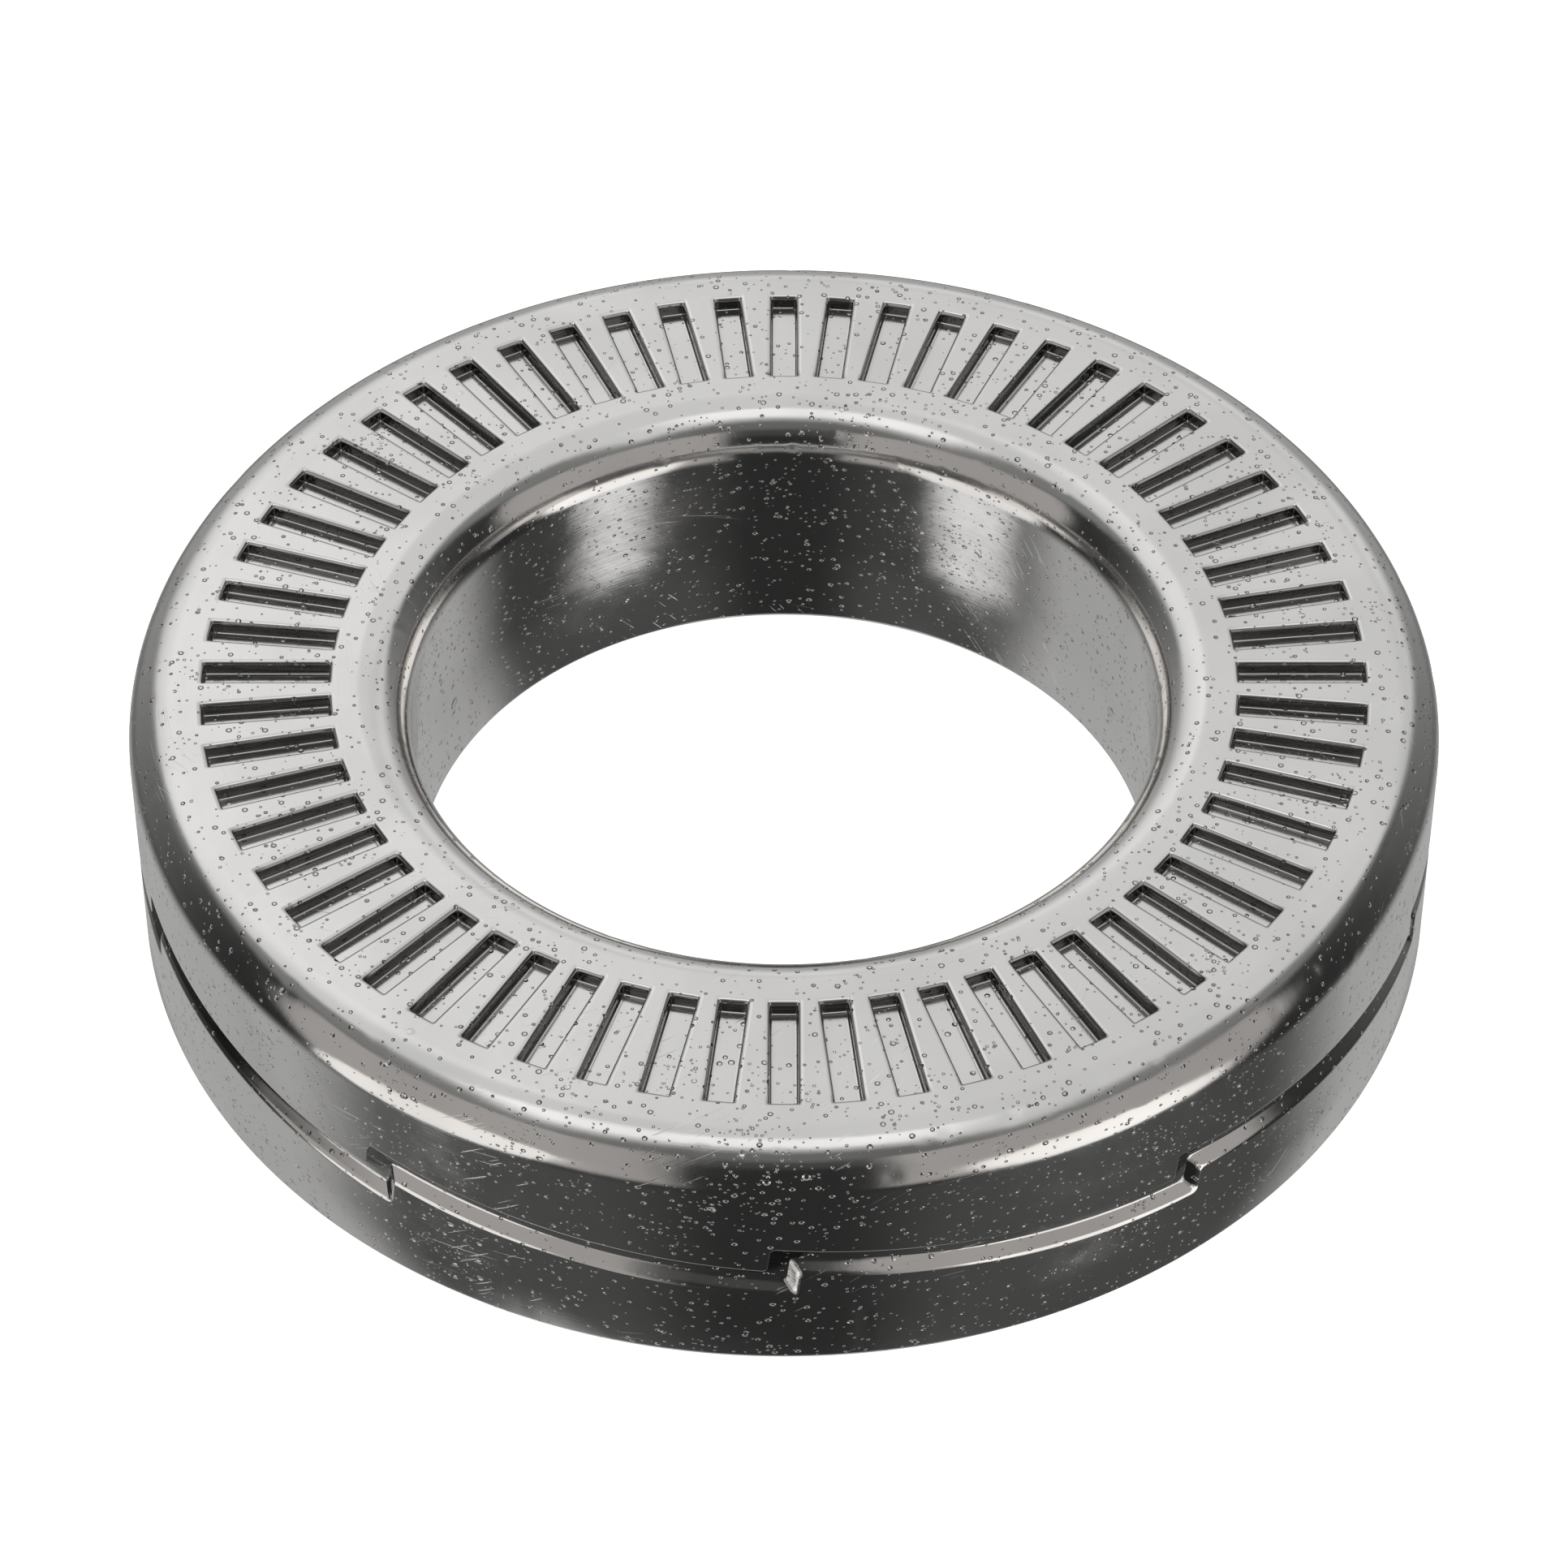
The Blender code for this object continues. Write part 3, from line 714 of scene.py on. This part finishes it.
def worn_steel(name, base, rough, seed, pit=1.0, brushed="ring", wear=1.0, spots=()):
    """Polished steel with pits, dents, scratches and soft clouding, and with painted shade
    on the pits' rims and wherever the mesh's painted shade attribute is set.

    Heights are in mm; coordinates are the object's own, in mm."""
    mat, g, bsdf = new_material(name)
    co = g.node("ShaderNodeTexCoord").outputs["Object"]
    pos = g.scale(co, 1000.0)
    shifted = g.node("ShaderNodeVectorMath", operation="ADD")
    g.put(shifted.inputs[0], pos)
    shifted.inputs[1].default_value = (seed * 7.31, seed * 3.17, seed * 5.93)
    p = shifted.outputs[0]
    x, y, z = g.xyz(pos)
    radius = g.m("SQRT", g.add(g.mul(x, x), g.mul(y, y)))
    azimuth = g.m("ARCTAN2", x, g.mul(y, -1.0))
    s = g.mul(azimuth, 29.0)                       # mm round the ring
    q = g.m("SUBTRACT", z, radius)                 # mm along the profile

    # soft clouding
    cloud = g.noise(p, 0.16, 3.0, 0.55, 0.4)
    cloud2 = g.noise(p, 0.55, 3.0, 0.6, 0.2)
    patch = g.noise(p, 0.11, 2.0, 0.5, 0.0)

    heights = []

    # round pits and blisters with steep edges, a little flattened on the walls:
    # cell size, radius, depth, share, mask
    flat = g.node("ShaderNodeVectorMath", operation="MULTIPLY")
    g.put(flat.inputs[0], p)
    flat.inputs[1].default_value = (1.0, 1.0, 1.4)
    pp = flat.outputs[0]

    def pits(cell, r, depth, share, mask=None, proud=0.62):
        d, colour = g.cells(pp, 1.0 / cell)
        pick, size, kind = g.xyz(colour)
        rr = g.m("MULTIPLY_ADD", size, 0.5 * r, 0.62 * r)
        u = g.m("DIVIDE", g.mul(d, cell), rr)
        u2 = g.m("MINIMUM", g.mul(u, u), 1.0)
        bowl = g.m("SUBTRACT", 1.0, g.m("POWER", u2, 1.4))
        limit = share if mask is None else g.mul(mask, share)
        on = g.m("LESS_THAN", pick, limit)
        sign = g.m("MULTIPLY_ADD", g.m("GREATER_THAN", kind, proud), 2.0, -1.0)
        heights.append(g.mul(bowl, depth, sign, on))
        # edge: the pit's steep rim, returned for the painted shade in the colour
        edge = g.mul(g.step(u, 0.35, 0.75), g.m("LESS_THAN", u, 1.0))
        return g.mul(edge, on)

    def spot(r, a, zz, size):
        at = g.node("ShaderNodeVectorMath", operation="DISTANCE")
        g.put(at.inputs[0], pos)
        at.inputs[1].default_value = polar(r, a, zz)
        return g.step(at.outputs["Value"], size, 0.25 * size)

    spread = g.step(cloud2, 0.34, 0.60)
    clusters = g.step(g.noise(p, 0.24, 3.0, 0.65, 0.6), 0.60, 0.72)
    for one in spots:
        clusters = g.m("MAXIMUM", clusters, spot(*one))
    clusters = g.mul(clusters, g.step(g.noise(p, 0.9, 2.0, 0.5, 0.0), 0.30, 0.55))
    big = pits(0.66, 0.155, 0.050 * pit, 0.74)
    small = pits(0.37, 0.088, 0.030 * pit, 0.60, spread)
    dense = pits(0.29, 0.085, 0.030 * pit, 0.80, clusters, proud=0.8)
    pits(0.70, 0.20, 0.050 * pit, 0.60, clusters, proud=0.9)
    pits(6.0, 0.40, 0.045 * pit, 0.30, None, proud=0.2)

    # short scratches in two leaning families, in patches
    def scratches(lean, along, across, level, depth, mask):
        ca, sa = math.cos(math.radians(lean)), math.sin(math.radians(lean))
        u = g.add(g.mul(s, ca * along), g.mul(q, sa * along))
        v = g.add(g.mul(s, -sa * across), g.mul(q, ca * across))
        n = g.noise(g.vec(u, v, seed + lean * 0.37), 1.0, 0.0, 0.5, 0.0)
        line = g.step(n, level, level + 0.07, smooth=False)
        heights.append(g.mul(line, -depth, mask))
        return g.mul(line, mask)

    m1 = g.step(g.noise(p, 0.17, 1.0, 0.5, 0.0), 0.58, 0.64)
    m2 = g.step(g.noise(g.scale(p, -1.0), 0.15, 1.0, 0.5, 0.7), 0.60, 0.66)
    scratch1 = scratches(40.0, 0.40, 9.0, 0.74, 0.006 * wear, m1)
    scratches(8.0, 0.12, 10.0, 0.74, 0.003 * wear, m2)

    # fine turning marks and a faint waviness
    if brushed == "ring":
        fine = g.noise(g.vec(g.mul(s, 0.10), g.mul(q, 9.0), seed), 1.0, 3.0, 0.6)
    else:
        fine = g.noise(g.scale(p, 3.0), 1.0, 3.0, 0.6)
    # the mesh's painted shade per point, which darkens the colour below and masks the
    # chatter bump
    painted_shade = g.node("ShaderNodeAttribute", attribute_name="painted_shade",
                   attribute_type="GEOMETRY").outputs["Fac"]
    chatter = g.noise(g.vec(g.mul(x, 0.25), g.mul(y, 0.25), g.mul(z, 7.0)), 1.0, 2.0, 0.6)
    heights.append(g.mul(chatter, painted_shade, 0.020))
    heights.append(g.mul(fine, 0.0018))
    heights.append(g.mul(cloud2, 0.005))
    heights.append(g.mul(cloud, 0.022))

    total = g.add(*heights)
    bump = g.node("ShaderNodeBump")
    bump.inputs["Strength"].default_value = 1.0
    bump.inputs["Distance"].default_value = 0.001      # heights are in mm
    g.put(bump.inputs["Height"], total)
    g.put(bsdf.inputs["Normal"], bump.outputs["Normal"])

    # colour: clean steel, dull film in patches, painted shade on the pits' steep rims
    film = g.step(patch, 0.42, 0.66)
    tone = g.mix_rgb(g.mul(film, 0.55), base, tuple(c * 0.86 for c in base))
    tone = g.mix_rgb(g.mul(cloud2, 0.25), tone, tuple(c * 0.93 for c in base))
    # painted shade on the steep rims of the pits, 0.30 on the walls and up to 0.85 on the
    # top faces
    level = g.step(z, 13.7, 14.8)
    pit_rim_shade = g.m("MULTIPLY", g.m("MAXIMUM", big, g.m("MAXIMUM", small, dense)),
               g.m("MULTIPLY_ADD", level, 0.55, 0.30), clamp=True)
    tone = g.mix_rgb(pit_rim_shade, tone, (base[0] * 0.30, base[1] * 0.29, base[2] * 0.28))
    # painted shade: the colour is pulled towards near black by the painted shade attribute,
    # broken up by the chatter noise
    dark = g.mul(painted_shade, g.m("MULTIPLY_ADD", chatter, 0.5, 0.55))
    tone = g.mix_rgb(g.m("MINIMUM", dark, 0.86), tone, (0.06, 0.058, 0.057))
    g.put(bsdf.inputs["Base Color"], tone)
    rough_n = g.add(rough, g.mul(g.m("SUBTRACT", cloud2, 0.5), 0.10),
                    g.mul(film, 0.05), g.mul(scratch1, 0.04), g.mul(fine, 0.03))
    g.put(bsdf.inputs["Roughness"], g.m("MAXIMUM", rough_n, 0.04))
    bsdf.inputs["Metallic"].default_value = 1.0
    bsdf.inputs["Anisotropic"].default_value = 0.0
    mat.diffuse_color = (*base, 1.0)
    return mat


def ground_steel(name, base, rough, seed, marks=0.0012):
    """Clean ground steel with fine circular marks."""
    mat, g, bsdf = new_material(name)
    co = g.node("ShaderNodeTexCoord").outputs["Object"]
    pos = g.scale(co, 1000.0)
    x, y, z = g.xyz(pos)
    radius = g.m("SQRT", g.add(g.mul(x, x), g.mul(y, y)))
    azimuth = g.m("ARCTAN2", x, g.mul(y, -1.0))
    fine = g.noise(g.vec(g.mul(azimuth, 2.5), g.mul(g.m("SUBTRACT", z, radius), 11.0),
                         seed), 1.0, 3.0, 0.6)
    cloud = g.noise(pos, 0.4, 3.0, 0.55, 0.3)
    bump = g.node("ShaderNodeBump")
    bump.inputs["Strength"].default_value = 1.0
    bump.inputs["Distance"].default_value = 0.001
    g.put(bump.inputs["Height"], g.add(g.mul(fine, marks), g.mul(cloud, 0.004)))
    g.put(bsdf.inputs["Normal"], bump.outputs["Normal"])
    g.put(bsdf.inputs["Base Color"],
          g.mix_rgb(cloud, base, tuple(c * 0.88 for c in base)))
    g.put(bsdf.inputs["Roughness"],
          g.add(rough, g.mul(g.m("SUBTRACT", cloud, 0.5), 0.06), g.mul(fine, 0.04)))
    bsdf.inputs["Metallic"].default_value = 1.0
    mat.diffuse_color = (*base, 1.0)
    return mat


def rubber(name):
    mat, g, bsdf = new_material(name)
    co = g.node("ShaderNodeTexCoord").outputs["Object"]
    pos = g.scale(co, 1000.0)
    grain = g.noise(pos, 6.0, 4.0, 0.6, 0.0)
    bloom = g.noise(pos, 0.5, 3.0, 0.6, 0.5)
    bump = g.node("ShaderNodeBump")
    bump.inputs["Strength"].default_value = 1.0
    bump.inputs["Distance"].default_value = 0.001
    g.put(bump.inputs["Height"], g.mul(grain, 0.01))
    g.put(bsdf.inputs["Normal"], bump.outputs["Normal"])
    g.put(bsdf.inputs["Base Color"],
          g.mix_rgb(bloom, (0.018, 0.018, 0.018), (0.045, 0.043, 0.040)))
    g.put(bsdf.inputs["Roughness"], g.add(0.55, g.mul(grain, 0.2)))
    mat.diffuse_color = (0.03, 0.03, 0.03, 1.0)
    return mat


# ============================================================================ build
def dress(ob, mat, node, body):
    if not ob.data.materials:
        ob.data.materials.append(mat)
    else:
        ob.data.materials[0] = mat
    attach(ob, body)
    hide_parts(node)
    return ob


steel_up = worn_steel("steel_upper", (0.80, 0.793, 0.782), 0.105, 1.0, spots=(
    (34.2, -2.0, 14.0, 3.2), (34.6, -22.0, 13.4, 2.2), (20.0, 153.0, 8.0, 3.4),
    (21.2, 168.0, 14.0, 2.4), (29.0, -11.0, 14.6, 2.0), (29.0, -128.0, 14.6, 2.2),
    (32.8, 98.0, 15.0, 1.8), (30.5, 46.0, 14.6, 1.6), (35.0, 33.0, 10.0, 2.4),
    (34.4, -34.0, 13.6, 1.6)))
steel_low = worn_steel("steel_lower", (0.80, 0.793, 0.782), 0.105, 5.0, spots=(
    (35.0, -30.0, 3.4, 3.6), (35.0, 52.0, 3.0, 2.4), (35.0, -120.0, 3.0, 3.0)))
# the band's colour is about half the housings' steel, as painted shade under the skirt
band_steel_shaded = worn_steel("band_steel_shaded", (0.42, 0.41, 0.40), 0.16, 9.0, pit=0.5, wear=0.5)
steel_race = ground_steel("steel_race", (0.82, 0.82, 0.81), 0.09, 3.0)
steel_ball = ground_steel("steel_ball", (0.88, 0.88, 0.88), 0.035, 4.0, marks=0.0002)
steel_spring = ground_steel("steel_spring", (0.26, 0.26, 0.27), 0.30, 6.0, marks=0.003)
brass = ground_steel("brass_cage", (0.78, 0.56, 0.24), 0.24, 7.0, marks=0.004)
seal_mat = rubber("rubber_seal")

dress(upper_housing(), steel_up, "upper_housing", "turning")
dress(lower_housing(), steel_low, "lower_housing", "seat")
dress(turned("dust_band_fine",
             rounded([(33.85, 11.0), (33.85, 3.15), (33.1, 3.15), (33.1, 11.0)],
                     [0.12] * 4, 3), 480), band_steel_shaded, "dust_band", "seat")
dress(lower_race(), steel_race, "lower_race", "seat")
dress(upper_race(), steel_race, "upper_race", "turning")
dress(turned("inner_seal_fine",
             rounded([(24.4, 6.75), (24.4, 5.15), (22.7, 5.15), (22.2, 8.4),
                      (22.2, 9.0), (22.7, 9.0), (23.1, 7.15)],
                     [0.3, 0.15, 0.2, 0.1, 0.15, 0.15, 0.35], 4), 240),
      seal_mat, "inner_seal", "seat")
dress(retaining_ring(), steel_spring, "retaining_ring", "turning")
dress(ball_cage(), brass, "ball_cage", "cage")

shared_ball = ball_mesh()
shared_ball.materials.append(steel_ball)
for k in range(BALLS):
    a = (k + 0.5) * 360.0 / BALLS
    ob = bpy.data.objects.new("ball_%02d_fine" % (k + 1), shared_ball)
    bpy.context.scene.collection.objects.link(ob)
    ob.matrix_world = (Matrix.Translation([c * MM for c in polar(PITCH_R, a, BALL_Z)])
                       @ Matrix.Rotation(math.radians(a - 90.0), 4, "Z"))
    node = "ball_%02d" % (k + 1)
    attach(ob, node + "_body")
    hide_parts(node)

# ============================================================================ stage
floor_bm = bmesh.new()
bmesh.ops.create_circle(floor_bm, cap_ends=True, segments=64, radius=1.2)
floor_me = bpy.data.meshes.new("floor")
floor_bm.to_mesh(floor_me)
floor_bm.free()
floor = bpy.data.objects.new("floor", floor_me)
floor.location = (0.0, 0.0, -0.0002)
bpy.context.scene.collection.objects.link(floor)
floor_mat, fg, f_bsdf = new_material("floor_paper")
f_bsdf.inputs["Base Color"].default_value = (0.9, 0.9, 0.9, 1.0)
f_bsdf.inputs["Roughness"].default_value = 1.0
f_bsdf.inputs["Specular IOR Level"].default_value = 0.0
f_bsdf.inputs["Emission Color"].default_value = (1.0, 1.0, 1.0, 1.0)
f_bsdf.inputs["Emission Strength"].default_value = 0.97
floor_me.materials.append(floor_mat)
floor.visible_glossy = False
floor.visible_diffuse = False

# ------------------------------------------------------------ studio environment
world = bpy.data.worlds.new("studio")
bpy.context.scene.world = world
world.use_nodes = True
wt = world.node_tree
wt.nodes.clear()
w = Graph(wt)
wd = w.node("ShaderNodeTexCoord").outputs["Generated"]
wx, wy, wz = w.xyz(wd)
ax = w.m("ABSOLUTE", wx)
az = w.mul(w.m("ARCTAN2", wx, w.mul(wy, -1.0)), 180.0 / math.pi)   # 0 front, + right
aa = w.m("ABSOLUTE", az)
el = w.mul(w.m("ARCSINE", wz), 180.0 / math.pi)

# an overhead softbox that runs from just ahead of the zenith far to the back
bx = w.m("SUBTRACT", ax, w.mul(w.step(wy, -0.1, 0.5), 0.10))
overhead = w.mul(w.step(bx, 0.58, 0.44), w.step(wy, -0.58, -0.34),
                 w.step(wz, 0.08, 0.48))
# its lamp, nearest to the front
hot = w.mul(w.step(wy, 0.06, -0.06), w.step(wy, -0.42, -0.28),
            w.step(wx, 0.36, 0.12), w.step(wx, -0.50, -0.36))
# a little more light at its left
left = w.mul(w.step(wx, 0.02, -0.12), w.step(wy, 0.3, 0.6), w.step(wz, 0.4, 0.6))
# back wall glow, brighter towards straight behind
behind = w.m("MAXIMUM", wy, 0.0)
back = w.mul(behind, w.m("MULTIPLY_ADD", behind, 0.85, 0.15), w.step(el, -45.0, -8.0),
             w.step(el, 55.0, 20.0), 0.40)
# the ground around, at the sides and behind
side = w.m("MAXIMUM", w.step(az, 94.0, 126.0), w.step(az, -70.0, -100.0))
low = w.mul(side, w.step(el, -22.0, -42.0), 0.36)
haze = w.mul(w.step(aa, 8.0, 34.0), w.step(el, -36.0, -48.0), 0.045)
# two large grey panels at the front left and right, each with a low round lamp
lean = w.m("SUBTRACT", aa, w.mul(el, 0.2))
panel = w.mul(w.step(aa, 13.0, 20.0), w.step(lean, 84.0, 77.0),
              w.step(el, 41.0, 36.0), w.step(el, -40.0, -28.0), 0.36)


def lamp(centre, slant, middle, half_az, half_el, strength):
    c = w.m("MULTIPLY_ADD", w.m("SUBTRACT", el, middle), slant, centre)
    da = w.mul(w.m("SUBTRACT", az, c), 1.0 / half_az)
    de = w.mul(w.m("SUBTRACT", el, middle), 1.0 / half_el)
    de = w.m("ABSOLUTE", de)
    return w.mul(w.step(w.add(w.mul(da, da), w.mul(de, de, de)), 1.15, 0.75), strength)


lit = w.m("MAXIMUM", panel, w.m("MAXIMUM", lamp(-56.0, 0.32, -25.0, 22.0, 20.0, 0.95),
                                lamp(50.0, -0.25, -23.0, 22.0, 20.5, 1.15)))
# a dim ring of light between the panels and the overhead softbox
ring = w.mul(w.step(el, 34.0, 44.0), w.m("MULTIPLY_ADD", w.step(aa, 10.0, 45.0),
                                        0.10, 0.09))

glow = w.mul(w.step(el, 18.0, 30.0), w.step(aa, 24.0, 10.0), 0.035)

value = w.add(0.027, back, low, haze, lit, ring, glow, w.mul(overhead, 0.485),
              w.mul(hot, 0.40), w.mul(left, 0.20))
bg = w.node("ShaderNodeBackground")
w.put(bg.inputs["Color"], w.mix_rgb(w.m("MINIMUM", w.mul(panel, 3.0), 1.0),
                                    (1.0, 1.0, 0.995), (1.04, 1.0, 0.965)))
w.put(bg.inputs["Strength"], value)
white = w.node("ShaderNodeBackground")
white.inputs["Color"].default_value = (1.0, 1.0, 1.0, 1.0)
white.inputs["Strength"].default_value = 1.0
lp = w.node("ShaderNodeLightPath")
mixs = w.node("ShaderNodeMixShader")
w.put(mixs.inputs[0], lp.outputs["Is Camera Ray"])
w.put(mixs.inputs[1], bg.outputs[0])
w.put(mixs.inputs[2], white.outputs[0])
wo = w.node("ShaderNodeOutputWorld")
w.put(wo.inputs["Surface"], mixs.outputs[0])

bpy.context.scene.view_settings.view_transform = "Standard"
bpy.context.scene.view_settings.look = "None"

# ---------------------------------------------------------------------------- camera
cam_data = bpy.data.cameras.new("camera")
cam_data.sensor_width = 36.0
cam_data.lens = 137.27
cam_data.clip_start = 0.01
cam = bpy.data.objects.new("camera", cam_data)
cam.location = (0.0, -0.23089, 0.23474)
cam.rotation_euler = (math.radians(45.338), 0.0, 0.0)
bpy.context.scene.collection.objects.link(cam)
bpy.context.scene.camera = cam
